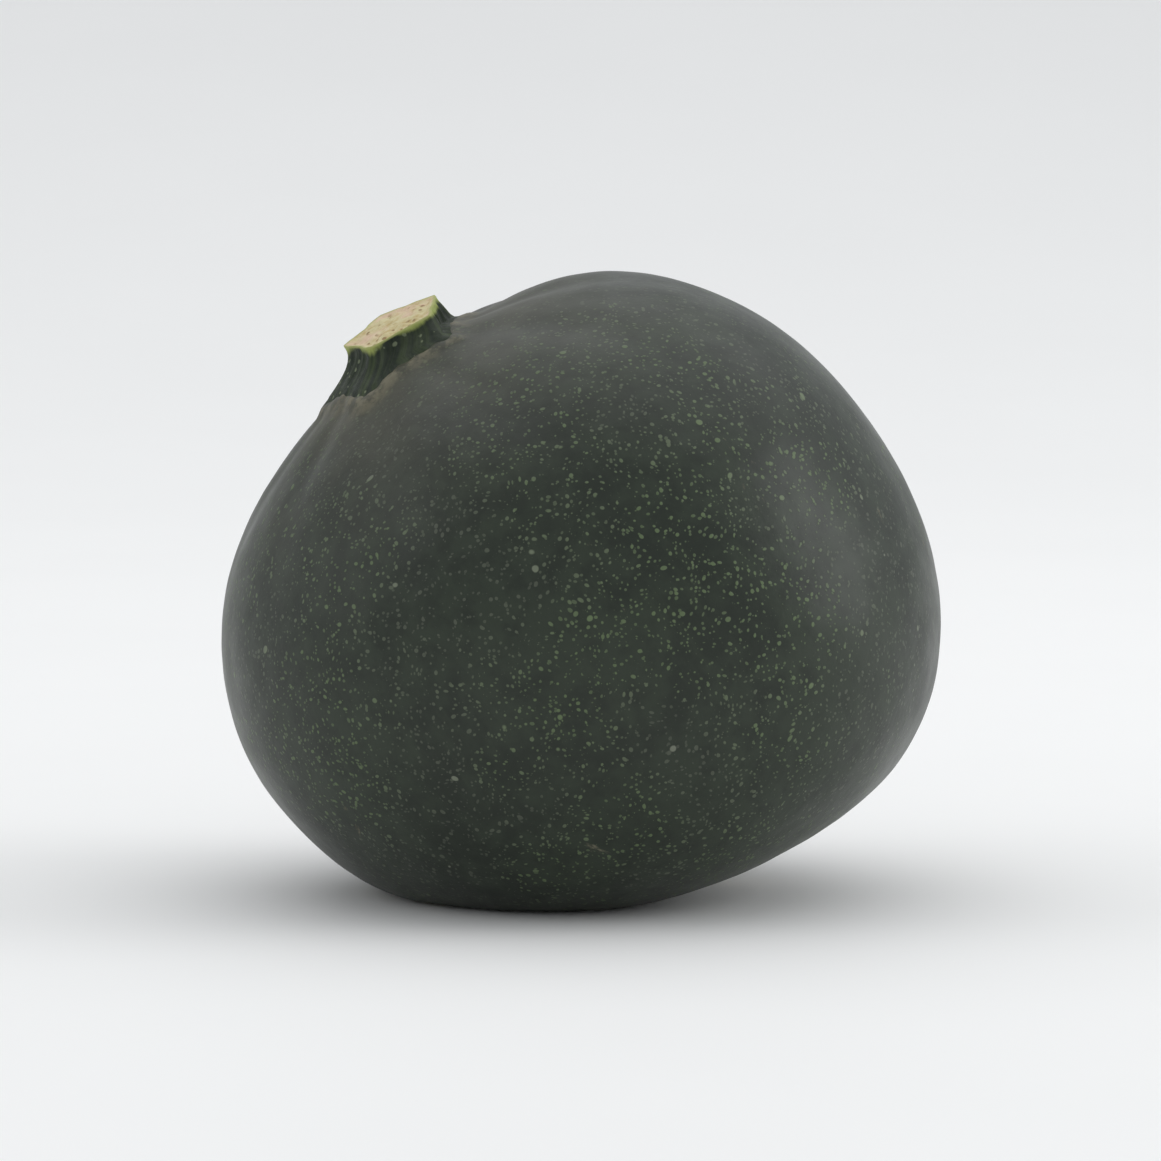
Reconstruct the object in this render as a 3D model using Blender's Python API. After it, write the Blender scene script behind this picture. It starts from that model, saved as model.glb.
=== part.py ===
"""A gem squash: the whole round fruit with the short woody stub of its stem, resting on a small flat spot.

Both pieces are shaped in the fruit's own frame. Its origin is the fruit's centre, +Z runs along the core
to the stem, +X is the side that ends up on the right, and -Y is the side that ends up in front.
A polar angle is counted from the stem, an azimuth from +X. The empty growth_axis then leans that frame.
"""

import math

import bmesh
import bpy
from mathutils import Matrix, Vector

MM = 0.001
DEG = math.pi / 180.0

# Fruit: two half superellipses that share the equator
EQUATOR_RADIUS = 41.2 * MM
STEM_HALF_HEIGHT = 36.75 * MM
BLOSSOM_HALF_HEIGHT = 36.0 * MM
STEM_HALF_FULLNESS = 2.2
BLOSSOM_HALF_FULLNESS = 2.4

# Fruit: broad uneven places, each as (polar angle of its middle, azimuth, spread, height)
UPPER_SHOULDER = (38.0 * DEG, 11.0 * DEG, 21.0 * DEG, 1.15 * MM)
LOWER_SHOULDER = (146.0 * DEG, -12.0 * DEG, 20.0 * DEG, 1.55 * MM)
FLATTER_UNDERSIDE = (143.0 * DEG, -169.0 * DEG, 44.0 * DEG, -7.3 * MM)
FULL_UNDERSIDE = (160.0 * DEG, 178.0 * DEG, 15.0 * DEG, 1.2 * MM)
DIP_BESIDE_STEM = (17.0 * DEG, 27.0 * DEG, 12.0 * DEG, -1.0 * MM)

# Fruit: a low three-sided lobe and faint ribs
THREE_LOBE = 0.3 * MM
THREE_LOBE_AZIMUTH = -45.0 * DEG
RIB_COUNT = 10
RIB_DEPTH_AT_SHOULDER = 0.3 * MM
RIB_DEPTH_AT_EQUATOR = 0.12 * MM
RIB_SHOULDER_ANGLE = 30.0 * DEG
RIB_SHOULDER_SPREAD = 20.0 * DEG

# Fruit: the seat of the stem with its corky collar, the dimple and the scar at the blossom end
SEAT_HEIGHT = 1.5 * MM
SEAT_RADIUS = 11.0 * MM
COLLAR_HEIGHT = 0.5 * MM
COLLAR_RADIUS = 9.0 * MM
COLLAR_WIDTH = 1.2 * MM
DIMPLE_DEPTH = 0.9 * MM
DIMPLE_RADIUS = 6.5 * MM
SCAR_HEIGHT = 0.55 * MM
SCAR_RADIUS = 2.9 * MM
SCAR_EDGE = 0.7 * MM
SCAR_PIT_DEPTH = 0.5 * MM
SCAR_PIT_RADIUS = 0.9 * MM

# Posture: how the core leans, and the flat spot that the fruit lies on
LEAN_LEFT = 34.0 * DEG
LEAN_FORWARD = 8.0 * DEG
FLAT_SPOT_SINK = 2.6 * MM
FLAT_SPOT_SOFTNESS = 0.9 * MM
FLAT_SPOT_TRIM = 0.2 * MM

# Stem: a star-shaped stub, wide at its foot, cut off askew
STEM_GAP = 0.35 * MM
STEM_RISE = 2.7 * MM
STEM_CUT_OFFSET = 2.0 * MM
STEM_CUT_TILT_RIGHT = 7.0 * DEG
STEM_CUT_TILT_FORWARD = 4.0 * DEG
STEM_FOOT_RADIUS = 7.9 * MM
STEM_FOOT_EDGE = 0.6 * MM
STEM_CUT_RADIUS = 5.7 * MM
STEM_FLARE = 2.1
STEM_CORNERS = 5
STEM_FOOT_POINT = 0.14
STEM_CUT_POINT = 0.11
STEM_CORNER_AZIMUTH = 26.0 * DEG
STEM_UNEVENNESS = 0.025
STEM_LONG_SIDE_AZIMUTH = -57.0 * DEG
STEM_NARROW_SIDE_AZIMUTH = 17.0 * DEG
STEM_FLUTES = 20
STEM_FLUTE_DEPTH = 0.16 * MM

# Stem: relief of the cut face, with each ring as (share of the way from the middle to the rim, width)
CUT_RIM_ROUNDING = 0.22 * MM
CUT_BUNDLES = 10
CUT_BUNDLE_HEIGHT = 0.14 * MM
CUT_BUNDLE_RING = (0.62, 0.16)
CUT_HOLLOW_DEPTH = 0.30 * MM
CUT_HOLLOW_RING = (0.80, 0.12)

# Finish of both pieces
RIND_COLOUR = (0.016, 0.030, 0.018)
RIND_ROUGHNESS = 0.38
STEM_COLOUR = (0.42, 0.33, 0.14)
STEM_ROUGHNESS = 0.75
SHARP_ANGLE = 40.0 * DEG

# Fineness of the solids: steps round both pieces, and polar zones as (first angle, last angle, steps)
STEPS_ROUND = 60
POLAR_ZONES = (
    (0.0 * DEG, 20.0 * DEG, 9),
    (20.0 * DEG, 166.0 * DEG, 29),
    (166.0 * DEG, 180.0 * DEG, 12),
)
STEM_FOOT_STEPS = 4
STEM_FLANK_STEPS = 8
STEM_CUT_STEPS = 7
CUT_FIRST_STEP = 0.6
TRIM_TOLERANCE = 0.001 * MM


def bell(distance, width):
    """A smooth bump: 1 at distance 0, falling off over about one width."""
    return math.exp(-((distance / width) ** 2))


def star(azimuth, point):
    """Relative radius of the stem: corners that stick out, with slightly hollow sides between them."""
    turn = azimuth - STEM_CORNER_AZIMUTH
    corner = 1.0 - 2.0 * abs(math.sin(0.5 * STEM_CORNERS * turn))
    long_side = math.cos(turn - STEM_LONG_SIDE_AZIMUTH)
    narrow_side = math.cos(2.0 * (turn - STEM_NARROW_SIDE_AZIMUTH))
    return 1.0 + point * corner + STEM_UNEVENNESS * (long_side + narrow_side)


def superellipse(polar):
    """Distance from the centre to the plain rind outline at this polar angle."""
    if polar < math.pi / 2:
        half_height, fullness = STEM_HALF_HEIGHT, STEM_HALF_FULLNESS
    else:
        half_height, fullness = BLOSSOM_HALF_HEIGHT, BLOSSOM_HALF_FULLNESS
    across = abs(math.sin(polar)) / EQUATOR_RADIUS
    along = abs(math.cos(polar)) / half_height
    return (across ** fullness + along ** fullness) ** (-1.0 / fullness)


def uneven_place(polar, azimuth, place):
    """One broad swelling or flatter side."""
    middle_polar, middle_azimuth, spread, height = place
    away = direction(polar, azimuth).angle(direction(middle_polar, middle_azimuth))
    return height * bell(away, spread)


def unevenness(polar, azimuth):
    """Everything that keeps the fruit from being perfectly round."""
    places = (UPPER_SHOULDER, LOWER_SHOULDER, FLATTER_UNDERSIDE, FULL_UNDERSIDE, DIP_BESIDE_STEM)
    lobe = THREE_LOBE * math.cos(3.0 * (azimuth - THREE_LOBE_AZIMUTH)) * math.sin(polar) ** 2
    return lobe + sum(uneven_place(polar, azimuth, place) for place in places)


def ribs(polar, azimuth):
    """Depth of the faint furrows between the ribs, deepest on the shoulder round the stem."""
    furrow = (0.5 + 0.5 * math.cos(RIB_COUNT * azimuth)) ** 2
    shoulder = RIB_DEPTH_AT_SHOULDER * bell(polar - RIB_SHOULDER_ANGLE, RIB_SHOULDER_SPREAD)
    return furrow * (shoulder + RIB_DEPTH_AT_EQUATOR * math.sin(polar) ** 2)


def stem_end(distance, azimuth):
    """Relief round the stem: a low seat under it, and a raised collar that follows its corners."""
    seat = SEAT_HEIGHT * bell(distance, SEAT_RADIUS)
    collar_radius = COLLAR_RADIUS * star(azimuth, STEM_FOOT_POINT)
    return seat + COLLAR_HEIGHT * bell(distance - collar_radius, COLLAR_WIDTH)


def blossom_end(distance):
    """Relief round the blossom end: a dimple with the round scar of the flower in it."""
    dimple = DIMPLE_DEPTH * bell(distance, DIMPLE_RADIUS)
    scar = SCAR_HEIGHT * 0.5 * (1.0 - math.tanh((distance - SCAR_RADIUS) / SCAR_EDGE))
    return scar - dimple - SCAR_PIT_DEPTH * bell(distance, SCAR_PIT_RADIUS)


def rind_radius(polar, azimuth):
    """Distance from the fruit's centre to its surface in one direction."""
    radius = superellipse(polar)
    distance = radius * math.sin(polar)
    relief = stem_end(distance, azimuth) if polar < math.pi / 2 else blossom_end(distance)
    return radius + relief + unevenness(polar, azimuth) - ribs(polar, azimuth)


def direction(polar, azimuth):
    """Unit vector from the fruit's centre."""
    across = math.sin(polar)
    return Vector((across * math.cos(azimuth), across * math.sin(azimuth), math.cos(polar)))


def azimuths():
    """The directions round the core that both pieces are divided into."""
    return [2.0 * math.pi * step / STEPS_ROUND for step in range(STEPS_ROUND)]


def polar_angles():
    """The polar angles of the fruit's rings, close together at both ends and without the two poles."""
    angles = []
    for first, last, steps in POLAR_ZONES:
        angles += [first + (last - first) * step / steps for step in range(steps)]
    return angles[1:]


def closed_mesh(name, first_tip, rings, last_tip):
    """A closed surface: a fan, bands of quads from ring to ring, and a fan."""
    mesh_edit = bmesh.new()
    tips = [mesh_edit.verts.new(first_tip), mesh_edit.verts.new(last_tip)]
    loops = [[mesh_edit.verts.new(point) for point in ring] for ring in rings]
    for here in range(STEPS_ROUND):
        after = (here + 1) % STEPS_ROUND
        mesh_edit.faces.new((tips[0], loops[0][here], loops[0][after]))
        mesh_edit.faces.new((tips[1], loops[-1][after], loops[-1][here]))
        for inner, outer in zip(loops, loops[1:]):
            mesh_edit.faces.new((inner[here], outer[here], outer[after], inner[after]))
    bmesh.ops.recalc_face_normals(mesh_edit, faces=mesh_edit.faces)
    mesh = bpy.data.meshes.new(name)
    mesh_edit.to_mesh(mesh)
    mesh_edit.free()
    return mesh


def fruit_mesh():
    """The fruit in its own frame, before it has a flat spot."""
    rings = [
        [direction(polar, azimuth) * rind_radius(polar, azimuth) for azimuth in azimuths()]
        for polar in polar_angles()
    ]
    stem_pole = direction(0.0, 0.0) * rind_radius(0.0, 0.0)
    blossom_pole = direction(math.pi, 0.0) * rind_radius(math.pi, 0.0)
    return closed_mesh("fruit", stem_pole, rings, blossom_pole)


def pressed_height(height):
    """Where a point ends up over the resting plane: the underside is pressed onto it with a soft edge."""
    return 0.5 * (height + math.hypot(height, FLAT_SPOT_SOFTNESS))


def cut_flat_spot(mesh, lean):
    """Flatten the lowest side of the leaning fruit, and return the spot's centre in the fruit's frame."""
    up = lean.inverted() @ Vector((0.0, 0.0, 1.0))
    plane_level = FLAT_SPOT_SINK + min(vertex.co.dot(up) for vertex in mesh.vertices)
    mesh_edit = bmesh.new()
    mesh_edit.from_mesh(mesh)
    for vertex in mesh_edit.verts:
        height = vertex.co.dot(up) - plane_level
        vertex.co += up * (pressed_height(height) - height)
    everything = mesh_edit.verts[:] + mesh_edit.edges[:] + mesh_edit.faces[:]
    trim = up * (plane_level + FLAT_SPOT_TRIM)
    cut = bmesh.ops.bisect_plane(
        mesh_edit, geom=everything, dist=TRIM_TOLERANCE, plane_co=trim, plane_no=up, clear_inner=True
    )
    rim = [item for item in cut["geom_cut"] if isinstance(item, bmesh.types.BMEdge)]
    spot = bmesh.ops.contextual_create(mesh_edit, geom=rim)["faces"][0]
    bmesh.ops.recalc_face_normals(mesh_edit, faces=mesh_edit.faces)
    centre = spot.calc_center_median_weighted()
    mesh_edit.to_mesh(mesh)
    mesh_edit.free()
    return centre


def stem_underside():
    """Rings of the stem's underside, which follows the rind across a narrow gap."""
    pole_radius = rind_radius(0.0, 0.0)
    rings = []
    for step in range(1, STEM_FOOT_STEPS + 1):
        ring = []
        for azimuth in azimuths():
            reach = STEM_FOOT_RADIUS * star(azimuth, STEM_FOOT_POINT) * step / STEM_FOOT_STEPS
            polar = reach / pole_radius
            ring.append(direction(polar, azimuth) * (rind_radius(polar, azimuth) + STEM_GAP))
        rings.append(ring)
    return rings


def cut_frame():
    """Where the cut face lies: its own frame, off centre and tipped towards +X and -Y."""
    centre = Vector((STEM_CUT_OFFSET, 0.0, rind_radius(0.0, 0.0) + STEM_RISE))
    tilt = Matrix.Rotation(STEM_CUT_TILT_RIGHT, 4, "Y") @ Matrix.Rotation(STEM_CUT_TILT_FORWARD, 4, "X")
    return Matrix.Translation(centre) @ tilt


def cut_relief(fraction, azimuth):
    """Height of the cut face: a hollow ring of soft wood with the fibre bundles standing proud in it."""
    hollow_middle, hollow_width = CUT_HOLLOW_RING
    bundle_middle, bundle_width = CUT_BUNDLE_RING
    hollow = CUT_HOLLOW_DEPTH * bell(fraction - hollow_middle, hollow_width)
    bundle = CUT_BUNDLE_HEIGHT * bell(fraction - bundle_middle, bundle_width)
    return bundle * math.cos(CUT_BUNDLES * azimuth) - hollow


def cut_point(fraction, azimuth):
    """A point of the cut face, at a fraction of the way from its middle to its rim."""
    reach = STEM_CUT_RADIUS * star(azimuth, STEM_CUT_POINT) * fraction
    return cut_frame() @ Vector((
        reach * math.cos(azimuth), reach * math.sin(azimuth), cut_relief(fraction, azimuth)
    ))


def stem_flank(foot_ring):
    """Rings up the flank, flared at the foot and fluted, ending in the rounded rim of the cut."""
    foot_lift = Vector((0.0, 0.0, STEM_FOOT_EDGE))
    rim_lift = Vector((0.0, 0.0, -CUT_RIM_ROUNDING))
    rings = []
    for step in range(STEM_FLANK_STEPS + 1):
        rise = step / STEM_FLANK_STEPS
        inward = 1.0 - (1.0 - rise) ** STEM_FLARE
        ring = []
        for azimuth, foot in zip(azimuths(), foot_ring):
            low = foot + foot_lift
            high = cut_point(1.0, azimuth) + rim_lift
            point = low.lerp(high, inward)
            point.z = low.z + (high.z - low.z) * rise
            flute = STEM_FLUTE_DEPTH * math.sin(math.pi * rise) * math.cos(STEM_FLUTES * azimuth)
            ring.append(point + direction(math.pi / 2, azimuth) * flute)
        rings.append(ring)
    return rings


def stem_cut():
    """Rings of the cut face, from just inside the rim to the middle, the first one after a shorter step."""
    whole_way = STEM_CUT_STEPS - 1 + CUT_FIRST_STEP
    fractions = [1.0 - (step + CUT_FIRST_STEP) / whole_way for step in range(STEM_CUT_STEPS - 1)]
    return [[cut_point(fraction, azimuth) for azimuth in azimuths()] for fraction in fractions]


def stem_mesh():
    """The stem stub in the fruit's frame."""
    underside = stem_underside()
    rings = underside + stem_flank(underside[-1]) + stem_cut()
    pole = Vector((0.0, 0.0, rind_radius(0.0, 0.0) + STEM_GAP))
    return closed_mesh("stem", pole, rings, cut_point(0.0, 0.0))


def material(name, colour, roughness):
    """A plain opaque material."""
    made = bpy.data.materials.new(name)
    made.use_nodes = True
    shader = made.node_tree.nodes["Principled BSDF"]
    shader.inputs["Base Color"].default_value = (*colour, 1.0)
    shader.inputs["Roughness"].default_value = roughness
    shader.inputs["Metallic"].default_value = 0.0
    return made


def add_piece(name, mesh, finish, parent):
    """One named object of the part, with its material, shaded smooth and hung on the leaning frame."""
    mesh.materials.append(finish)
    mesh.shade_smooth()
    mesh.set_sharp_from_angle(angle=SHARP_ANGLE)
    piece = bpy.data.objects.new(name, mesh)
    piece.parent = parent
    bpy.context.scene.collection.objects.link(piece)
    return piece


def build():
    """Make the fruit and its stem, leaning, with the middle of the flat spot at the world's origin."""
    for old in list(bpy.data.objects):
        bpy.data.objects.remove(old)
    lean = Matrix.Rotation(-LEAN_LEFT, 3, "Y") @ Matrix.Rotation(LEAN_FORWARD, 3, "X")
    rind = fruit_mesh()
    spot_centre = cut_flat_spot(rind, lean)

    growth_axis = bpy.data.objects.new("growth_axis", None)
    growth_axis.empty_display_size = EQUATOR_RADIUS
    growth_axis.rotation_euler = lean.to_euler()
    growth_axis.location = -(lean @ spot_centre)
    bpy.context.scene.collection.objects.link(growth_axis)

    add_piece("fruit", rind, material("rind", RIND_COLOUR, RIND_ROUGHNESS), growth_axis)
    add_piece("stem", stem_mesh(), material("stem", STEM_COLOUR, STEM_ROUGHNESS), growth_axis)
    bpy.context.view_layer.update()


build()
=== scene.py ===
"""Looks of the gem squash: a fine rind and stem stub in place of the plain solids, on a pale floor.

Both pieces repeat the formulas that shape the solids, in the fruit's own frame: origin at its centre,
+Z along the core to the stem, +X the side that ends up on the right, -Y the side that ends up in front.
A polar angle is counted from the stem, an azimuth from +X.
"""

import math

import bpy
import numpy as np
from mathutils import Matrix, Vector, noise


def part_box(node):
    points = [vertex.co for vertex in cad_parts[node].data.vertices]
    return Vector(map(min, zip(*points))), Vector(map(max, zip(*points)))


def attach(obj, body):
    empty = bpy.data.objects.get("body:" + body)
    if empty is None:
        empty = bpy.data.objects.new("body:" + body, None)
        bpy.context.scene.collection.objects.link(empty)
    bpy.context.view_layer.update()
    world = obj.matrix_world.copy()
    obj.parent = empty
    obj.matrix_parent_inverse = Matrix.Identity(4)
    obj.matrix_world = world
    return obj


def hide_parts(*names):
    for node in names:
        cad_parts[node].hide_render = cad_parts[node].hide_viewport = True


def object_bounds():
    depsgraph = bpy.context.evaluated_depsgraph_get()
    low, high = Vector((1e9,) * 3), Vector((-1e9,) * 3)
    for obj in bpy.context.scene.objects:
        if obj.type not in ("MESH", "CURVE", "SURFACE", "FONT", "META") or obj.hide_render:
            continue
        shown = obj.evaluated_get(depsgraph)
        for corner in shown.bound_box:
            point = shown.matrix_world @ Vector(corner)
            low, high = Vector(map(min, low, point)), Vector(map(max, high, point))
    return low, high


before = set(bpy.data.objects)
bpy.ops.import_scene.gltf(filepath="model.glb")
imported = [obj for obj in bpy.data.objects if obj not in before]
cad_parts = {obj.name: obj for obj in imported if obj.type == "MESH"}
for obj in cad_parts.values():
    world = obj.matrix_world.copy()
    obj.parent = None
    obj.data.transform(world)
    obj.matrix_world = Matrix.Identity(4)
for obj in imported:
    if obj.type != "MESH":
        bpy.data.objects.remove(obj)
CAD_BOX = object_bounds()

MM = 0.001
DEG = math.pi / 180.0

# Fruit, as in the solids: two half superellipses that share the equator
EQUATOR_RADIUS = 41.2 * MM
STEM_HALF_HEIGHT = 36.75 * MM
BLOSSOM_HALF_HEIGHT = 36.0 * MM
STEM_HALF_FULLNESS = 2.2
BLOSSOM_HALF_FULLNESS = 2.4

# Fruit, as in the solids: broad uneven places, each as (polar angle of its middle, azimuth, spread, height)
UPPER_SHOULDER = (38.0 * DEG, 11.0 * DEG, 21.0 * DEG, 1.15 * MM)
LOWER_SHOULDER = (146.0 * DEG, -12.0 * DEG, 20.0 * DEG, 1.55 * MM)
FLATTER_UNDERSIDE = (143.0 * DEG, -169.0 * DEG, 44.0 * DEG, -7.3 * MM)
FULL_UNDERSIDE = (160.0 * DEG, 178.0 * DEG, 15.0 * DEG, 1.2 * MM)
DIP_BESIDE_STEM = (17.0 * DEG, 27.0 * DEG, 12.0 * DEG, -1.0 * MM)

# Fruit, as in the solids: lobe, ribs, relief at both ends, lean and flat spot
THREE_LOBE = 0.3 * MM
THREE_LOBE_AZIMUTH = -45.0 * DEG
RIB_COUNT = 10
RIB_DEPTH_AT_SHOULDER = 0.3 * MM
RIB_DEPTH_AT_EQUATOR = 0.12 * MM
RIB_SHOULDER_ANGLE = 30.0 * DEG
RIB_SHOULDER_SPREAD = 20.0 * DEG
SEAT_HEIGHT = 1.5 * MM
SEAT_RADIUS = 11.0 * MM
COLLAR_HEIGHT = 0.5 * MM
COLLAR_RADIUS = 9.0 * MM
COLLAR_WIDTH = 1.2 * MM
DIMPLE_DEPTH = 0.9 * MM
DIMPLE_RADIUS = 6.5 * MM
SCAR_HEIGHT = 0.55 * MM
SCAR_RADIUS = 2.9 * MM
SCAR_EDGE = 0.7 * MM
SCAR_PIT_DEPTH = 0.5 * MM
SCAR_PIT_RADIUS = 0.9 * MM
LEAN_LEFT = 34.0 * DEG
LEAN_FORWARD = 8.0 * DEG
FLAT_SPOT_SOFTNESS = 0.9 * MM
FLAT_SPOT_TRIM = 0.2 * MM

# Stem, as in the solids, with each ring of the cut as (share of the way from the middle to the rim, width)
STEM_GAP = 0.35 * MM
STEM_RISE = 2.7 * MM
STEM_CUT_OFFSET = 2.0 * MM
STEM_CUT_TILT_RIGHT = 7.0 * DEG
STEM_CUT_TILT_FORWARD = 4.0 * DEG
STEM_FOOT_RADIUS = 7.9 * MM
STEM_CUT_RADIUS = 5.7 * MM
STEM_FLARE = 2.1
STEM_CORNERS = 5
STEM_FOOT_POINT = 0.14
STEM_CUT_POINT = 0.11
STEM_CORNER_AZIMUTH = 26.0 * DEG
STEM_UNEVENNESS = 0.025
STEM_LONG_SIDE_AZIMUTH = -57.0 * DEG
STEM_NARROW_SIDE_AZIMUTH = 17.0 * DEG
STEM_FLUTES = 20
STEM_FLUTE_DEPTH = 0.16 * MM
CUT_RIM_ROUNDING = 0.22 * MM
CUT_BUNDLES = 10
CUT_BUNDLE_HEIGHT = 0.14 * MM
CUT_BUNDLE_RING = (0.62, 0.16)
CUT_HOLLOW_DEPTH = 0.30 * MM
CUT_HOLLOW_RING = (0.80, 0.12)
CUT_FIRST_STEP = 0.6

# Fineness of both meshes
RIND_STEPS_ROUND = 330
RIND_STEPS_DOWN = 220
POLE_CROWDING = 0.35
STEM_STEPS_ROUND = 240
FOOT_STEPS = 10
SKIRT_STEPS = 8
FLANK_STEPS = 44
CUT_STEPS = 46

# Small relief of the rind, and the lift that closes most of the gap under the stem
SKIN_INSET = 0.06 * MM
SKIN_SWELL = 0.12 * MM
SKIN_SWELL_SIZE = 11.0 * MM
SKIN_WARTS = 0.035 * MM
SKIN_WARTS_SIZE = 2.6 * MM
CALLUS_ROUGHNESS = 0.10 * MM
CALLUS_SIZE = 1.1 * MM
CORKY_COLLAR_WIDTH = 1.6 * COLLAR_WIDTH
LIFT_UNDER_STEM = 0.9 * STEM_GAP
LIFT_INSET = 0.4 * MM
LIFT_SOFTNESS = 0.25 * MM

# Small relief of the stem. A size without a unit is a share of the stem's radius or of the cut's.
SKIRT_RADIUS = 9.7 * MM
SKIRT_SINK = 0.45 * MM
SKIRT_HEIGHT = 0.45 * MM
SKIRT_CURVE = 1.3
RIM_WAVE = 0.30 * MM
RIM_WAVE_SIZE = 0.30
FLANK_FIBRE = 0.10 * MM
FLANK_FIBRE_SIZE = 0.055
FINE_FIBRE_SHARE = 0.6
FINE_FIBRE_SIZE = 0.021
CUT_FIBRE = 0.09 * MM
CUT_FIBRE_SIZE = 0.55 * MM
CUT_SMOOTH_EDGE = 1.0 / 12.0

# Where the specks crowd, as (polar angle of its middle, azimuth, spread, strength)
CROWDED_PLACE = (62.0 * DEG, -58.0 * DEG, 30.0 * DEG, 1.0)

# Reach of the russet round the stem, and of the yellowish spot where the fruit lies
RUSSET_SPREAD = 30.0 * DEG
GROUND_SPOT_HEIGHT = 5.0 * MM
GROUND_SPOT_RADIUS = 17.0 * MM

# Colours, linear
RIND_DARK = (0.0120, 0.0180, 0.0110)
RIND_MID = (0.0210, 0.0305, 0.0185)
RIND_LIGHT = (0.0320, 0.0450, 0.0265)
RUSSET = (0.0700, 0.0620, 0.0370)
SPECK = (0.150, 0.166, 0.124)
SPECK_GREEN = (0.105, 0.150, 0.070)
CORK = (0.300, 0.270, 0.185)
CORK_DARK = (0.130, 0.108, 0.066)
GROUND_SPOT = (0.360, 0.255, 0.085)
GROUND_EDGE = (0.120, 0.125, 0.045)
STEM_GREEN_DARK = (0.009, 0.016, 0.008)
STEM_GREEN = (0.034, 0.050, 0.019)
STEM_SPOT = (0.170, 0.200, 0.120)
STEM_RIM = (0.300, 0.350, 0.095)
CUT_PALE = (0.620, 0.560, 0.330)
CUT_PINK = (0.680, 0.500, 0.370)
CUT_OCHRE = (0.460, 0.340, 0.130)
CUT_BROWN = (0.200, 0.095, 0.030)
FLOOR = (0.90, 0.90, 0.89)
FLOOR_SHADE = (0.89, 0.89, 0.88)
ROOM = (0.95, 0.97, 1.00)

# Noises in space, as (repeats to a metre, detail, roughness, distortion)
PATCHES = (48.0, 5.0, 0.55, 0.0)
CROWDS = (60.0, 3.0, 0.55, 0.0)
SCUFFS = (85.0, 9.0, 0.68, 0.6)
BLOTCHES = (130.0, 6.0, 0.6, 0.0)
MOTTLE = (330.0, 3.0, 0.55, 0.0)
CORK_GRAIN = (430.0, 6.0, 0.65, 0.0)
PORES = (900.0, 4.0, 0.55, 0.0)
CUT_PATCHES = (260.0, 3.0, 0.55, 0.0)
STEM_GRAIN = (700.0, 6.0, 0.65, 0.0)
FLOOR_CLOUDS = (9.0, 3.0, 0.55, 0.0)

# Noises laid out by direction, in the same way, but with the repeats to a radius
STREAKS = (3.2, 5.0, 0.6, 0.0)
STREAKS_STRETCH = (6.0, 6.0, 1.1)
RAYS = (7.5, 6.0, 0.7, 0.0)
RAGS = (1.3, 1.0, 0.55, 0.0)

# Specks, as (cells to a metre, smallest radius, largest radius, soft edge), the last three in cells
FINE_SPECKS = (1900.0, 0.0, 0.30, 0.12)
SMALL_SPECKS = (1250.0, 0.0, 0.27, 0.10)
LARGE_SPECKS = (330.0, -0.42, 0.11, 0.05)
STEM_SPECKS = (1000.0, -0.14, 0.22, 0.10)
SPECK_GROWTH = (0.25, 1.0)
PUSH_SCALE = 230.0
PUSH_DETAIL = 1.0
PUSH = 2.0 * MM
VESSELS_SCALE = 950.0

# Blends of the rind: (low, high, start, end) of a smooth ramp, or (low, high) where it goes from 0 to 1
CROWD_BLEND = (0.38, 0.64)
THINNED_SPECKS_BLEND = (0.0, 1.0, 0.40, 1.0)
TONE_BLEND = (0.40, 0.60)
STREAKS_BLEND = (0.50, 0.80, 0.0, 0.35)
RUSSET_BLEND = (0.35, 0.60, 0.25, 0.75)
GROUND_EDGE_BLEND = (1.00, 1.30)
GROUND_SPOT_BLEND = (1.15, 1.55)
SCUFF_BLEND = (0.67, 0.72)
COLLAR_BLEND = (0.40, 0.62)
SCAR_BLEND = (0.75, 1.05)
CORK_BLEND = (0.38, 0.56)
WAX_BLEND = (0.3, 0.7, 0.36, 0.46)

# Blends of the stem and of the floor, in the same way
FLANK_BLEND = (0.40, 0.68)
RIM_BLEND = (1.40, 1.68)
CUT_BLEND = (0.30, 0.58)
CUT_PINK_BLEND = (0.48, 0.66, 0.0, 0.8)
CUT_OCHRE_BLEND = (0.50, 0.70, 0.0, 0.5)
CUT_RIM_BLEND = (0.90, 1.0, 0.0, 0.8)
VESSEL_BLEND = (0.18, 0.34, 1.0, 0.0)
VESSEL_RING = 0.66
VESSEL_RING_BLEND = (0.10, 0.26, 1.0, 0.0)
STEM_ROUGHNESS_BLEND = (0.3, 0.7, 0.55, 0.85)
FLOOR_BLEND = (0.3, 0.7)

# Shares: how strongly a mark shows, or how much one pattern adds to another
FINE_SPECKS_SHARE = 0.60
SMALL_SPECKS_SHARE = 0.85
CROWDED_PLACE_SHARE = 0.12
SPECKS_LOST_BY_STEM = 0.7
PATCHES_SHARE = 0.5
MOTTLE_SHARE = 0.5
GROUND_BLOTCHES_SHARE = 1.3
SCUFF_SHARE = 0.5
COLLAR_SHARE = 0.4
SCAR_GRAIN_SHARE = 0.9
STEM_SPOTS_SHARE = 0.7
RIM_RAYS_SHARE = 0.30
VESSEL_SHARE = 0.75

# Sheen
CORK_EXTRA_ROUGHNESS = 0.35
RUSSET_EXTRA_ROUGHNESS = 0.15
SPECK_EXTRA_ROUGHNESS = 0.12
RIND_SPECULAR = 0.30
RIND_COAT = 0.10
RIND_COAT_ROUGHNESS = 0.20
STEM_SPECULAR = 0.35
FLOOR_ROUGHNESS = 0.7

# The finest relief, which only the shading shows, as (depth, strength)
PORE_RELIEF = (0.05 * MM, 0.6)
SPECK_RELIEF = (0.05 * MM, 0.8)
CORK_RELIEF = (0.09 * MM, 0.5)
FIBRE_RELIEF = (0.20 * MM, 0.5)
STEM_GRAIN_RELIEF = (0.15 * MM, 0.7)

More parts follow.
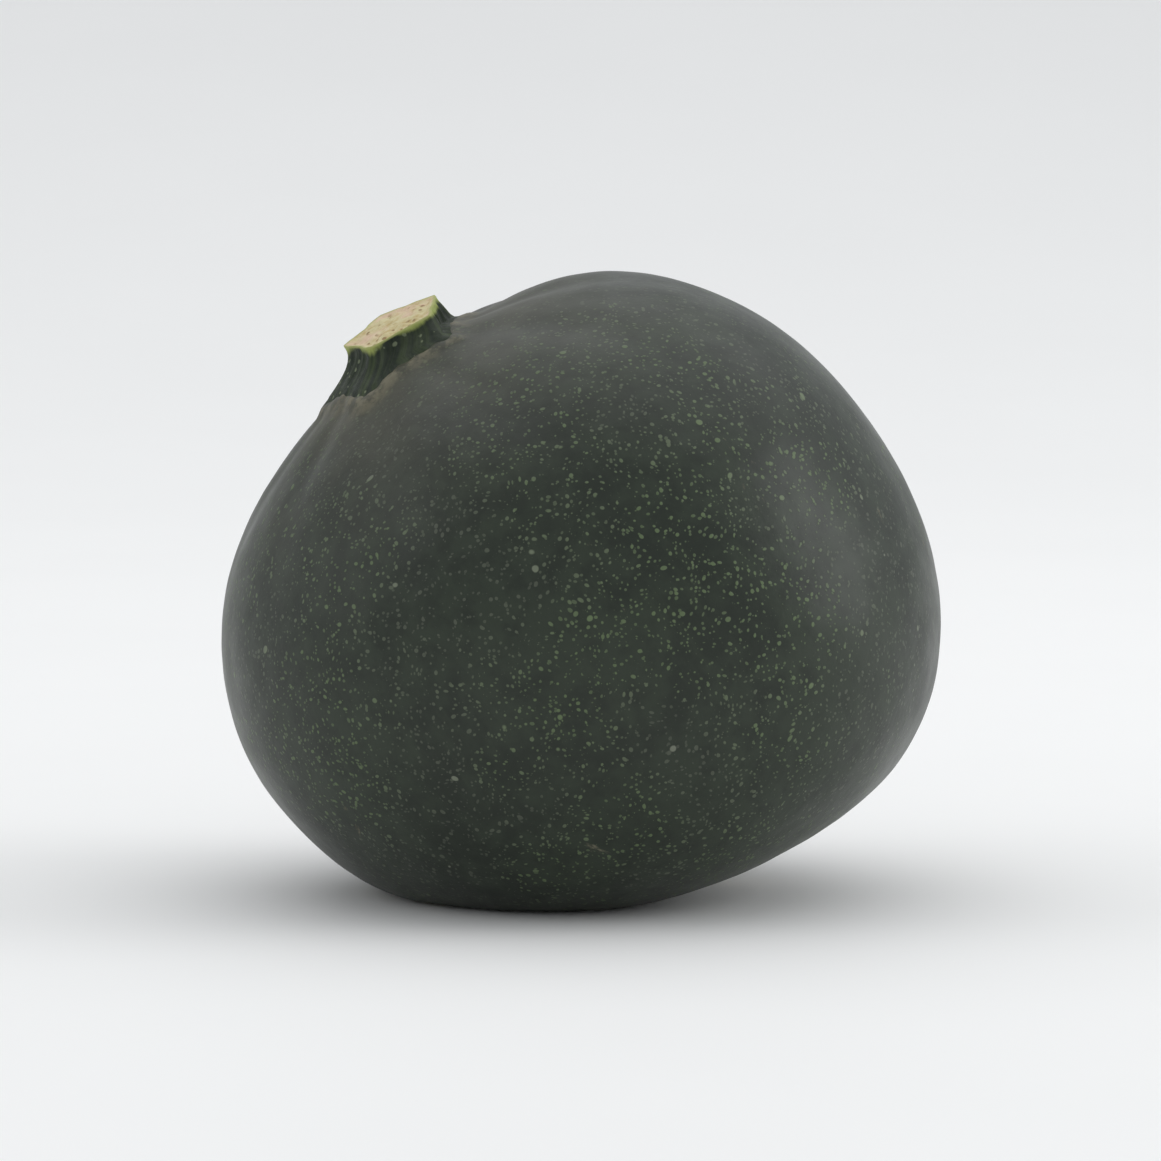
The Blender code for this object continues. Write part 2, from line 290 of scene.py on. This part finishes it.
# Backdrop, in metres
SWEEP_HALF_WIDTH = 3.0
SWEEP_START = 0.5
SWEEP_RADIUS = 2.0
SWEEP_ANGLE = 35.0 * DEG
SWEEP_STEPS = 20
FLOOR_DROP = 0.02 * MM

# Lamps, as (name, place in metres, width and height in metres, watts), and the light of the room
LAMPS = (
    ("overhead", (0.05, 0.25, 0.95), (1.60, 1.20), 4.2),
    ("left", (-1.00, -0.10, 0.50), (0.60, 0.80), 1.0),
    ("right", (1.05, 0.00, 0.45), (0.60, 0.80), 3.4),
)
ROOM_STRENGTH = 0.68

# Camera
LENS_MM = 200.0
CAMERA_ELEVATION = 5.0 * DEG
FRAME_FILL = 0.62
CLIP_START = 0.01


def bell(distance, width):
    """A smooth bump: 1 at distance 0, falling off over about one width."""
    return np.exp(-((distance / width) ** 2))


def directions(polar, azimuth):
    """Unit vectors from the fruit's centre, one row each."""
    across = np.sin(polar)
    return np.stack([across * np.cos(azimuth), across * np.sin(azimuth), np.cos(polar)], axis=-1)


def sideways(azimuth):
    """Unit vectors straight out from the core, one row each."""
    return directions(np.full_like(azimuth, math.pi / 2), azimuth)


def even_turns(steps):
    """Azimuths that go once round in equal steps."""
    return 2.0 * math.pi * np.arange(steps) / steps


def star(azimuth, point):
    """Relative radius of the stem: corners that stick out, with slightly hollow sides between them."""
    turn = azimuth - STEM_CORNER_AZIMUTH
    corner = 1.0 - 2.0 * np.abs(np.sin(0.5 * STEM_CORNERS * turn))
    long_side = np.cos(turn - STEM_LONG_SIDE_AZIMUTH)
    narrow_side = np.cos(2.0 * (turn - STEM_NARROW_SIDE_AZIMUTH))
    return 1.0 + point * corner + STEM_UNEVENNESS * (long_side + narrow_side)


def superellipse(polar):
    """Distance from the centre to the plain rind outline at this polar angle."""
    stem_half = polar < math.pi / 2
    half_height = np.where(stem_half, STEM_HALF_HEIGHT, BLOSSOM_HALF_HEIGHT)
    fullness = np.where(stem_half, STEM_HALF_FULLNESS, BLOSSOM_HALF_FULLNESS)
    across = np.abs(np.sin(polar)) / EQUATOR_RADIUS
    along = np.abs(np.cos(polar)) / half_height
    return (across ** fullness + along ** fullness) ** (-1.0 / fullness)


def uneven_place(polar, azimuth, place):
    """One broad swelling or flatter side."""
    middle_polar, middle_azimuth, spread, height = place
    away = np.sum(directions(polar, azimuth) * directions(middle_polar, middle_azimuth), axis=-1)
    return height * bell(np.arccos(np.clip(away, -1.0, 1.0)), spread)


def unevenness(polar, azimuth):
    """Everything that keeps the fruit from being perfectly round."""
    places = (UPPER_SHOULDER, LOWER_SHOULDER, FLATTER_UNDERSIDE, FULL_UNDERSIDE, DIP_BESIDE_STEM)
    lobe = THREE_LOBE * np.cos(3.0 * (azimuth - THREE_LOBE_AZIMUTH)) * np.sin(polar) ** 2
    return lobe + sum(uneven_place(polar, azimuth, place) for place in places)


def ribs(polar, azimuth):
    """Depth of the faint furrows between the ribs, deepest on the shoulder round the stem."""
    furrow = (0.5 + 0.5 * np.cos(RIB_COUNT * azimuth)) ** 2
    shoulder = RIB_DEPTH_AT_SHOULDER * bell(polar - RIB_SHOULDER_ANGLE, RIB_SHOULDER_SPREAD)
    return furrow * (shoulder + RIB_DEPTH_AT_EQUATOR * np.sin(polar) ** 2)


def stem_end(distance, azimuth):
    """Relief round the stem: a low seat under it, and a raised collar that follows its corners."""
    seat = SEAT_HEIGHT * bell(distance, SEAT_RADIUS)
    collar_radius = COLLAR_RADIUS * star(azimuth, STEM_FOOT_POINT)
    return seat + COLLAR_HEIGHT * bell(distance - collar_radius, COLLAR_WIDTH)


def scar_shape(distance):
    """The round blossom scar: 1 on it and 0 away from it, with a soft edge."""
    return 0.5 * (1.0 - np.tanh((distance - SCAR_RADIUS) / SCAR_EDGE))


def blossom_end(distance):
    """Relief round the blossom end: a dimple with the round scar of the flower in it."""
    dimple = DIMPLE_DEPTH * bell(distance, DIMPLE_RADIUS)
    pit = SCAR_PIT_DEPTH * bell(distance, SCAR_PIT_RADIUS)
    return SCAR_HEIGHT * scar_shape(distance) - dimple - pit


def rind_radius(polar, azimuth):
    """Distance from the fruit's centre to its surface in one direction."""
    radius = superellipse(polar)
    distance = radius * np.sin(polar)
    relief = np.where(polar < math.pi / 2, stem_end(distance, azimuth), blossom_end(distance))
    return radius + relief + unevenness(polar, azimuth) - ribs(polar, azimuth)


def pole_radius():
    """Distance from the fruit's centre to the middle of the stem's seat."""
    return float(rind_radius(0.0, 0.0))


def roughness_field(points, size):
    """Smooth random values between about -1 and 1, whose swells are about this size."""
    return np.array([noise.noise(Vector(point) / size) for point in points])


def closed_grid(name, rows, steps_round, maps):
    """A closed mesh from points that start and end with a tip and hold full rings between them.

    The maps keep one number or one vector for each of its points, for its material."""
    rings = (len(rows) - 2) // steps_round
    ring = 1 + np.arange(rings * steps_round).reshape(rings, steps_round)
    after = np.roll(ring, -1, axis=1)
    last = len(rows) - 1
    faces = [(0, a, b) for a, b in zip(ring[0], after[0])]
    quads = np.stack([ring[:-1], ring[1:], after[1:], after[:-1]], axis=-1)
    faces += [tuple(quad) for quad in quads.reshape(-1, 4)]
    faces += [(last, b, a) for a, b in zip(ring[-1], after[-1])]
    mesh = bpy.data.meshes.new(name)
    mesh.from_pydata(rows.tolist(), [], faces)
    mesh.shade_smooth()
    for map_name, values in maps.items():
        kind, field = ("FLOAT_VECTOR", "vector") if values.ndim == 2 else ("FLOAT", "value")
        kept = mesh.attributes.new(map_name, kind, "POINT")
        kept.data.foreach_set(field, values.astype(np.float32).ravel())
    return mesh


def add_piece(name, mesh, finish, node):
    """One shown piece in place of a CAD node."""
    mesh.materials.append(finish)
    piece = bpy.data.objects.new(name, mesh)
    bpy.context.scene.collection.objects.link(piece)
    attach(piece, "root")
    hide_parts(node)


def lean_matrix():
    """Turns the fruit's own frame the way that the fruit leans."""
    return np.array(Matrix.Rotation(-LEAN_LEFT, 3, "Y") @ Matrix.Rotation(LEAN_FORWARD, 3, "X"))


def rind_grid():
    """Polar angles and azimuths of the rind's points, closer together towards its poles, the two tips."""
    share = np.arange(1, RIND_STEPS_DOWN) / RIND_STEPS_DOWN
    rings = math.pi * (share - POLE_CROWDING * np.sin(2.0 * math.pi * share) / (2.0 * math.pi))
    polar = np.repeat(rings, RIND_STEPS_ROUND)
    azimuth = np.tile(even_turns(RIND_STEPS_ROUND), len(rings))
    return np.r_[0.0, polar, math.pi], np.r_[0.0, azimuth, 0.0]


def place_in_frame(points, node):
    """The shift that puts leaning points where the CAD node is: level with its top, centred sideways."""
    low, high = (np.array(corner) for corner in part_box(node))
    shift = 0.5 * (low + high) - 0.5 * (points.min(axis=0) + points.max(axis=0))
    shift[2] = high[2] - points[:, 2].max()
    return shift


def settle_on_floor(points):
    """Press the underside into the resting spot, with the same soft edge as the solid."""
    height = points[:, 2] + FLAT_SPOT_TRIM
    pressed = 0.5 * (height + np.hypot(height, FLAT_SPOT_SOFTNESS))
    points[:, 2] = np.maximum(pressed - FLAT_SPOT_TRIM, 0.0)
    return points


def skin_relief(outward, corky):
    """Height of the skin's soft swells, of its fine warts and of the roughness where it is corky."""
    sphere = outward * EQUATOR_RADIUS
    swell = SKIN_SWELL * (roughness_field(sphere, SKIN_SWELL_SIZE) - 1.0)
    warts = SKIN_WARTS * roughness_field(sphere, SKIN_WARTS_SIZE)
    callus = corky * CALLUS_ROUGHNESS * roughness_field(sphere, CALLUS_SIZE)
    return swell + warts + callus - SKIN_INSET


def rind_piece(lean):
    """The whole rind, with the fine relief of its skin, and the shift that puts it in place."""
    polar, azimuth = rind_grid()
    outward = directions(polar, azimuth)
    radius = rind_radius(polar, azimuth)
    shift = place_in_frame((outward * radius[:, None]) @ lean.T, "fruit")

    stem_half = (polar < math.pi / 2).astype(float)
    distance = radius * np.sin(polar)
    past_foot = distance - COLLAR_RADIUS * star(azimuth, STEM_FOOT_POINT)
    collar = stem_half * bell(past_foot, CORKY_COLLAR_WIDTH)
    under_stem = stem_half / (1.0 + np.exp((past_foot + LIFT_INSET) / LIFT_SOFTNESS))
    scar = (1.0 - stem_half) * scar_shape(distance)
    radius = radius + skin_relief(outward, collar + scar) + LIFT_UNDER_STEM * under_stem

    points = settle_on_floor((outward * radius[:, None]) @ lean.T + shift)
    from_middle = np.hypot(points[:, 0], points[:, 1])
    maps = {
        "core": outward,
        "crowded": uneven_place(polar, azimuth, CROWDED_PLACE),
        "collar": collar,
        "stem_shoulder": stem_half * bell(polar, RUSSET_SPREAD),
        "scar": scar,
        "ground": bell(points[:, 2], GROUND_SPOT_HEIGHT) * bell(from_middle, GROUND_SPOT_RADIUS),
    }
    return closed_grid("gem_squash_rind", points, RIND_STEPS_ROUND, maps), shift


def cut_frame():
    """Where the cut face lies: its own frame, off centre and tipped towards +X and -Y."""
    centre = Vector((STEM_CUT_OFFSET, 0.0, pole_radius() + STEM_RISE))
    right = Matrix.Rotation(STEM_CUT_TILT_RIGHT, 4, "Y")
    forward = Matrix.Rotation(STEM_CUT_TILT_FORWARD, 4, "X")
    return np.array(Matrix.Translation(centre) @ right @ forward)


def cut_relief(fraction, azimuth):
    """Height of the cut face: a hollow ring of soft wood, and fibre bundles standing proud inside it."""
    hollow_middle, hollow_width = CUT_HOLLOW_RING
    bundle_middle, bundle_width = CUT_BUNDLE_RING
    hollow = CUT_HOLLOW_DEPTH * bell(fraction - hollow_middle, hollow_width)
    bundle = CUT_BUNDLE_HEIGHT * np.cos(CUT_BUNDLES * azimuth)
    return bundle * bell(fraction - bundle_middle, bundle_width) - hollow


def cut_points(fraction, azimuth):
    """Points of the cut face, each at a fraction of the way from its middle to its rim."""
    wave = RIM_WAVE * roughness_field(sideways(azimuth), RIM_WAVE_SIZE)
    reach = (STEM_CUT_RADIUS * star(azimuth, STEM_CUT_POINT) + wave) * fraction
    points = sideways(azimuth) * reach[:, None]
    fibre = CUT_FIBRE * roughness_field(points * (1.0, 1.0, 0.0), CUT_FIBRE_SIZE)
    fibre = fibre * np.clip((1.0 - fraction) / CUT_SMOOTH_EDGE, 0.0, 1.0)
    points[:, 2] = cut_relief(fraction, azimuth) + fibre
    where = cut_frame()
    return points @ where[:3, :3].T + where[:3, 3]


def ring_on_rind(azimuth, reach, height):
    """A star-shaped ring round the stem, about this far from the core and this high over the rind."""
    polar = reach * star(azimuth, STEM_FOOT_POINT) / pole_radius()
    return directions(polar, azimuth) * (rind_radius(polar, azimuth) + height)[:, None]


def foot_rings(azimuth):
    """Rings of the stem's underside, sunk a little into the rind, out to the skirt's buried edge."""
    reaches = SKIRT_RADIUS * np.arange(1, FOOT_STEPS + 1) / FOOT_STEPS
    return [ring_on_rind(azimuth, reach, -SKIRT_SINK) for reach in reaches]


def skirt_rings(azimuth):
    """Rings of the thin skirt, from its buried edge up to the foot of the flank."""
    rings = []
    for step in range(1, SKIRT_STEPS):
        share = step / SKIRT_STEPS
        reach = SKIRT_RADIUS + (STEM_FOOT_RADIUS - SKIRT_RADIUS) * share
        height = (SKIRT_HEIGHT + SKIRT_SINK) * share ** SKIRT_CURVE - SKIRT_SINK
        rings.append(ring_on_rind(azimuth, reach, height))
    return rings


def flank_rings(azimuth):
    """Rings up the flank, flared at the foot, fluted and fibrous, up to just under the rim of the cut."""
    low = ring_on_rind(azimuth, STEM_FOOT_RADIUS, SKIRT_HEIGHT)
    high = cut_points(np.ones_like(azimuth), azimuth) - (0.0, 0.0, CUT_RIM_ROUNDING)
    outward = sideways(azimuth)
    fibre = roughness_field(outward, FLANK_FIBRE_SIZE)
    fibre = FLANK_FIBRE * (fibre + FINE_FIBRE_SHARE * roughness_field(outward, FINE_FIBRE_SIZE))
    flute = STEM_FLUTE_DEPTH * np.cos(STEM_FLUTES * azimuth) + fibre
    rings = []
    for step in range(FLANK_STEPS + 1):
        rise = step / FLANK_STEPS
        inward = 1.0 - (1.0 - rise) ** STEM_FLARE
        ring = low + (high - low) * inward
        ring[:, 2] = low[:, 2] + (high[:, 2] - low[:, 2]) * rise
        rings.append(ring + outward * (math.sin(math.pi * rise) * flute)[:, None])
    return rings


def on_stem_points(first, ring_values, last):
    """A value for each point of the stem: its first tip, ring after ring, and its last tip."""
    return np.r_[first, np.repeat(ring_values, STEM_STEPS_ROUND), last]


def stem_piece(lean, shift):
    """The stem stub: underside, skirt, flank and cut face."""
    azimuth = even_turns(STEM_STEPS_ROUND)
    foot = foot_rings(azimuth) + skirt_rings(azimuth)
    flank = flank_rings(azimuth)
    whole_way = CUT_STEPS - CUT_FIRST_STEP
    fractions = [1.0 - (step - CUT_FIRST_STEP) / whole_way for step in range(1, CUT_STEPS)]
    cut = [cut_points(np.full_like(azimuth, fraction), azimuth) for fraction in fractions]
    first = ring_on_rind(np.zeros(1), 0.0, -SKIRT_SINK)
    last = cut_points(np.zeros(1), np.zeros(1))
    points = np.concatenate([first, *foot, *flank, *cut, last])

    rise = [0.0] * len(foot) + [step / FLANK_STEPS for step in range(FLANK_STEPS + 1)] + [1.0] * len(cut)
    on_cut = [0.0] * (len(foot) + FLANK_STEPS) + [0.5] + [1.0] * len(cut)
    fraction = [1.0] * (len(foot) + len(flank)) + fractions
    around = np.r_[0.0, np.tile(azimuth, len(fraction)), 0.0]
    maps = {
        "around": sideways(around) * (1.0, 1.0, 0.0),
        "cut_fraction": on_stem_points(0.0, fraction, 0.0),
        "rise": on_stem_points(0.0, rise, 1.0),
        "on_cut": on_stem_points(0.0, on_cut, 1.0),
    }
    return closed_grid("gem_squash_stem", points @ lean.T + shift, STEM_STEPS_ROUND, maps)


class Graph:
    """Builds one material's nodes. Each call that makes some wires them up and returns their output."""

    def __init__(self, name):
        self.material = bpy.data.materials.new(name)
        self.material.use_nodes = True
        self.nodes = self.material.node_tree.nodes
        self.links = self.material.node_tree.links
        self.shader = self.nodes["Principled BSDF"]
        self.place = self.nodes.new("ShaderNodeTexCoord").outputs["Object"]

    def wire(self, socket, value):
        """Give a socket a fixed value or another node's output."""
        if isinstance(value, bpy.types.NodeSocket):
            self.links.new(value, socket)
        elif isinstance(value, tuple) and len(value) == 3 and socket.type == "RGBA":
            socket.default_value = (*value, 1.0)
        else:
            socket.default_value = value

    def math(self, operation, first, second=0.0):
        """One step of arithmetic on one or two numbers."""
        made = self.nodes.new("ShaderNodeMath")
        made.operation = operation
        self.wire(made.inputs[0], first)
        self.wire(made.inputs[1], second)
        return made.outputs[0]

    def times(self, first, second):
        """One number multiplied by another."""
        return self.math("MULTIPLY", first, second)

    def most(self, first, second):
        """The larger of two numbers."""
        return self.math("MAXIMUM", first, second)

    def plus(self, base, value, share=1.0):
        """The base plus this share of the value."""
        return self.math("ADD", base, self.times(value, share))

    def noise(self, pattern, where=None):
        """Cloudy values between 0 and 1."""
        scale, detail, roughness, distortion = pattern
        made = self.nodes.new("ShaderNodeTexNoise")
        self.wire(made.inputs["Vector"], where or self.place)
        made.inputs["Scale"].default_value = scale
        made.inputs["Detail"].default_value = detail
        made.inputs["Roughness"].default_value = roughness
        made.inputs["Distortion"].default_value = distortion
        return made.outputs["Fac"]

    def pushed_place(self):
        """The place, pushed about, so that what is laid out by it has no rows and no true circles."""
        push = self.nodes.new("ShaderNodeTexNoise")
        self.wire(push.inputs["Vector"], self.place)
        push.inputs["Scale"].default_value = PUSH_SCALE
        push.inputs["Detail"].default_value = PUSH_DETAIL
        made = self.nodes.new("ShaderNodeVectorMath")
        made.operation = "MULTIPLY_ADD"
        self.wire(made.inputs[0], push.outputs["Color"])
        made.inputs[1].default_value = (PUSH, PUSH, PUSH)
        self.wire(made.inputs[2], self.place)
        return made.outputs[0]

    def cells(self, scale, where):
        """Cells in space: the distance to the nearest one's middle, and a random colour for each."""
        made = self.nodes.new("ShaderNodeTexVoronoi")
        self.wire(made.inputs["Vector"], where)
        made.inputs["Scale"].default_value = scale
        return made.outputs["Distance"], made.outputs["Color"]

    def ramp(self, value, low, high, start=0.0, end=1.0):
        """Smoothly map low..high to start..end."""
        made = self.nodes.new("ShaderNodeMapRange")
        made.interpolation_type = "SMOOTHSTEP"
        for socket, given in zip(made.inputs, (value, low, high, start, end)):
            self.wire(socket, given)
        return made.outputs[0]

    def mix(self, share, first, second):
        """Blend two colours."""
        made = self.nodes.new("ShaderNodeMix")
        made.data_type = "RGBA"
        self.wire(made.inputs[0], share)
        self.wire(made.inputs[6], first)
        self.wire(made.inputs[7], second)
        return made.outputs[2]

    def red(self, colour):
        """The red part of a colour."""
        made = self.nodes.new("ShaderNodeSeparateColor")
        self.wire(made.inputs[0], colour)
        return made.outputs[0]

    def map(self, name, field="Fac"):
        """A number or vector kept on the mesh."""
        made = self.nodes.new("ShaderNodeAttribute")
        made.attribute_name = name
        return made.outputs[field]

    def stretched(self, vector, factors):
        """The vector with each of its parts multiplied by its own factor."""
        made = self.nodes.new("ShaderNodeVectorMath")
        made.operation = "MULTIPLY"
        self.wire(made.inputs[0], vector)
        made.inputs[1].default_value = factors
        return made.outputs[0]

    def bump(self, height, relief, below=None):
        """Shaded relief, on top of the relief below it."""
        depth, strength = relief
        made = self.nodes.new("ShaderNodeBump")
        made.inputs["Strength"].default_value = strength
        made.inputs["Distance"].default_value = depth
        self.wire(made.inputs["Height"], height)
        if below is not None:
            self.wire(made.inputs["Normal"], below)
        return made.outputs[0]


def specks(graph, where, kind):
    """Roundish specks, one in some of the cells, each of its own size.

    The radius grows with the cell's random value, and one well below zero leaves its cell bare."""
    scale, smallest, largest, soft = kind
    distance, colour = graph.cells(scale, where)
    radius = graph.ramp(graph.red(colour), *SPECK_GROWTH, smallest, largest)
    return graph.ramp(graph.math("SUBTRACT", distance, radius), 0.0, soft, 1.0, 0.0)


def rind_specks(graph):
    """How much of a speck shows here, and how green the specks are here."""
    crowding = graph.plus(graph.noise(CROWDS), graph.map("crowded"), CROWDED_PLACE_SHARE)
    crowding = graph.ramp(crowding, *CROWD_BLEND)
    where = graph.pushed_place()
    fine = graph.times(specks(graph, where, FINE_SPECKS), FINE_SPECKS_SHARE)
    small = graph.times(specks(graph, where, SMALL_SPECKS), SMALL_SPECKS_SHARE)
    shown = graph.times(graph.most(fine, small), graph.ramp(crowding, *THINNED_SPECKS_BLEND))
    shown = graph.most(shown, specks(graph, where, LARGE_SPECKS))
    left_by_stem = graph.plus(1.0, graph.map("stem_shoulder"), -SPECKS_LOST_BY_STEM)
    return graph.times(shown, left_by_stem), crowding


def skin_colour(graph, blotches):
    """The skin without specks: mottled, streaked dark green, russet by the stem, yellowish underneath."""
    patches = graph.noise(PATCHES)
    along = graph.stretched(graph.map("core", "Vector"), STREAKS_STRETCH)
    streaks = graph.noise(STREAKS, where=along)
    tone = graph.plus(graph.times(patches, PATCHES_SHARE), graph.noise(MOTTLE), MOTTLE_SHARE)
    colour = graph.mix(graph.ramp(tone, *TONE_BLEND), RIND_DARK, RIND_MID)
    colour = graph.mix(graph.ramp(streaks, *STREAKS_BLEND), colour, RIND_LIGHT)
    russet = graph.times(graph.map("stem_shoulder"), graph.ramp(patches, *RUSSET_BLEND))
    colour = graph.mix(russet, colour, RUSSET)
    ground = graph.plus(graph.map("ground"), blotches, GROUND_BLOTCHES_SHARE)
    yellow = graph.mix(graph.ramp(ground, *GROUND_SPOT_BLEND), GROUND_EDGE, GROUND_SPOT)
    return graph.mix(graph.ramp(ground, *GROUND_EDGE_BLEND), colour, yellow)


def corkiness(graph, grain):
    """How corky the skin is here: in thin scuffs, on the collar round the stem and on the blossom scar."""
    scuffs = graph.times(graph.ramp(graph.noise(SCUFFS), *SCUFF_BLEND), SCUFF_SHARE)
    collar = graph.times(graph.map("collar"), graph.ramp(grain, *COLLAR_BLEND))
    scar = graph.ramp(graph.plus(graph.map("scar"), grain, SCAR_GRAIN_SHARE), *SCAR_BLEND)
    return graph.most(graph.most(scuffs, graph.times(collar, COLLAR_SHARE)), scar)


def rind_material():
    """Waxy, nearly black green skin with fine pale specks, and cork round the stem and on the scar."""
    graph = Graph("rind")
    blotches = graph.noise(BLOTCHES)
    grain = graph.noise(CORK_GRAIN)
    speckled, greenness = rind_specks(graph)
    cork = corkiness(graph, grain)

    colour = graph.mix(speckled, skin_colour(graph, blotches), graph.mix(greenness, SPECK, SPECK_GREEN))
    colour = graph.mix(cork, colour, graph.mix(graph.ramp(grain, *CORK_BLEND), CORK_DARK, CORK))
    graph.wire(graph.shader.inputs["Base Color"], colour)

    rough = graph.plus(graph.ramp(blotches, *WAX_BLEND), cork, CORK_EXTRA_ROUGHNESS)
    rough = graph.plus(rough, graph.map("stem_shoulder"), RUSSET_EXTRA_ROUGHNESS)
    rough = graph.plus(rough, speckled, SPECK_EXTRA_ROUGHNESS)
    graph.wire(graph.shader.inputs["Roughness"], rough)
    graph.shader.inputs["Specular IOR Level"].default_value = RIND_SPECULAR
    graph.shader.inputs["Coat Weight"].default_value = RIND_COAT
    graph.shader.inputs["Coat Roughness"].default_value = RIND_COAT_ROUGHNESS

    pores = graph.bump(graph.noise(PORES), PORE_RELIEF)
    raised = graph.bump(speckled, SPECK_RELIEF, below=pores)
    graph.wire(graph.shader.inputs["Normal"], graph.bump(grain, CORK_RELIEF, below=raised))
    return graph.material


def flank_colour(graph, around, rays):
    """The stem's flank: dark green ridges, pale spots, and a pale green rim with a ragged lower edge."""
    colour = graph.mix(graph.ramp(rays, *FLANK_BLEND), STEM_GREEN_DARK, STEM_GREEN)
    spots = specks(graph, graph.pushed_place(), STEM_SPECKS)
    colour = graph.mix(graph.times(spots, STEM_SPOTS_SHARE), colour, STEM_SPOT)
    ragged = graph.plus(graph.noise(RAGS, where=around), rays, RIM_RAYS_SHARE)
    return graph.mix(graph.ramp(graph.plus(graph.map("rise"), ragged), *RIM_BLEND), colour, STEM_RIM)


def cut_colour(graph, rays, grain):
    """The cut face: pale and ochre wood with pinkish patches, a ring of dark vessels and a green rim."""
    fraction = graph.map("cut_fraction")
    colour = graph.mix(graph.ramp(grain, *CUT_BLEND), CUT_OCHRE, CUT_PALE)
    colour = graph.mix(graph.ramp(graph.noise(CUT_PATCHES), *CUT_PINK_BLEND), colour, CUT_PINK)
    colour = graph.mix(graph.ramp(rays, *CUT_OCHRE_BLEND), colour, CUT_OCHRE)
    from_ring = graph.math("ABSOLUTE", graph.math("SUBTRACT", fraction, VESSEL_RING))
    distance, _ = graph.cells(VESSELS_SCALE, graph.place)
    vessels = graph.times(graph.ramp(distance, *VESSEL_BLEND), graph.ramp(from_ring, *VESSEL_RING_BLEND))
    colour = graph.mix(graph.times(vessels, VESSEL_SHARE), colour, CUT_BROWN)
    return graph.mix(graph.ramp(fraction, *CUT_RIM_BLEND), colour, STEM_RIM)


def stem_material():
    """Dull, dry stem tissue: the ridged green flank and the pale cut."""
    graph = Graph("stem")
    around = graph.map("around", "Vector")
    grain = graph.noise(STEM_GRAIN)
    rays = graph.noise(RAYS, where=around)
    flank = flank_colour(graph, around, rays)
    cut = cut_colour(graph, rays, grain)
    graph.wire(graph.shader.inputs["Base Color"], graph.mix(graph.map("on_cut"), flank, cut))
    graph.wire(graph.shader.inputs["Roughness"], graph.ramp(grain, *STEM_ROUGHNESS_BLEND))
    graph.shader.inputs["Specular IOR Level"].default_value = STEM_SPECULAR
    fibres = graph.bump(rays, FIBRE_RELIEF)
    graph.wire(graph.shader.inputs["Normal"], graph.bump(grain, STEM_GRAIN_RELIEF, below=fibres))
    return graph.material


def floor_material():
    """Matte, pale and almost even."""
    graph = Graph("floor")
    shade = graph.ramp(graph.noise(FLOOR_CLOUDS), *FLOOR_BLEND)
    graph.wire(graph.shader.inputs["Base Color"], graph.mix(shade, FLOOR, FLOOR_SHADE))
    graph.shader.inputs["Roughness"].default_value = FLOOR_ROUGHNESS
    return graph.material


def add_stage():
    """A pale floor that curves up far in front and behind, so that no edge shows."""
    turn = np.linspace(0.0, SWEEP_ANGLE, SWEEP_STEPS)
    behind = SWEEP_START + SWEEP_RADIUS * np.sin(turn)
    rise = SWEEP_RADIUS * (1.0 - np.cos(turn))
    profile = list(zip(-behind[::-1], rise[::-1])) + list(zip(behind, rise))
    sides = (-SWEEP_HALF_WIDTH, SWEEP_HALF_WIDTH)
    points = [(across, along, height) for along, height in profile for across in sides]
    faces = [(2 * row, 2 * row + 1, 2 * row + 3, 2 * row + 2) for row in range(len(profile) - 1)]
    mesh = bpy.data.meshes.new("floor")
    mesh.from_pydata(points, [], faces)
    mesh.shade_smooth()
    mesh.materials.append(floor_material())
    floor = bpy.data.objects.new("floor", mesh)
    floor.location.z = -FLOOR_DROP
    bpy.context.scene.collection.objects.link(floor)


def add_lamp(name, place, size, power, target):
    """One soft rectangular lamp that faces the target."""
    lamp = bpy.data.lights.new(name, "AREA")
    lamp.shape = "RECTANGLE"
    lamp.size, lamp.size_y = size
    lamp.energy = power
    holder = bpy.data.objects.new(name, lamp)
    holder.location = place
    holder.rotation_euler = (target - Vector(place)).to_track_quat("-Z", "Y").to_euler()
    bpy.context.scene.collection.objects.link(holder)


def add_lights(target):
    """Plain soft studio light: a big lamp overhead, one at each side, and a pale room."""
    for name, place, size, power in LAMPS:
        add_lamp(name, place, size, power, target)
    world = bpy.data.worlds.new("room")
    world.use_nodes = True
    background = world.node_tree.nodes["Background"]
    background.inputs["Color"].default_value = (*ROOM, 1.0)
    background.inputs["Strength"].default_value = ROOM_STRENGTH
    bpy.context.scene.world = world


def add_camera(target):
    """A long lens straight in front, a little above level, with the squash filling most of the frame."""
    data = bpy.data.cameras.new("camera")
    data.lens = LENS_MM
    data.clip_start = CLIP_START
    camera = bpy.data.objects.new("camera", data)
    distance = 2.0 * EQUATOR_RADIUS / FRAME_FILL * LENS_MM / data.sensor_width
    back = Vector((0.0, -math.cos(CAMERA_ELEVATION), math.sin(CAMERA_ELEVATION)))
    camera.location = target + back * distance
    camera.rotation_euler = (-back).to_track_quat("-Z", "Y").to_euler()
    bpy.context.scene.collection.objects.link(camera)
    bpy.context.scene.camera = camera


def main():
    """Build both pieces, the floor, the lights and the camera."""
    lean = lean_matrix()
    rind, shift = rind_piece(lean)
    add_piece("rind_skin", rind, rind_material(), "fruit")
    add_piece("stem_stub", stem_piece(lean, shift), stem_material(), "stem")
    middle = 0.5 * (CAD_BOX[0] + CAD_BOX[1])
    add_stage()
    add_lights(middle)
    add_camera(middle)
    bpy.context.scene.view_settings.view_transform = "Standard"


main()
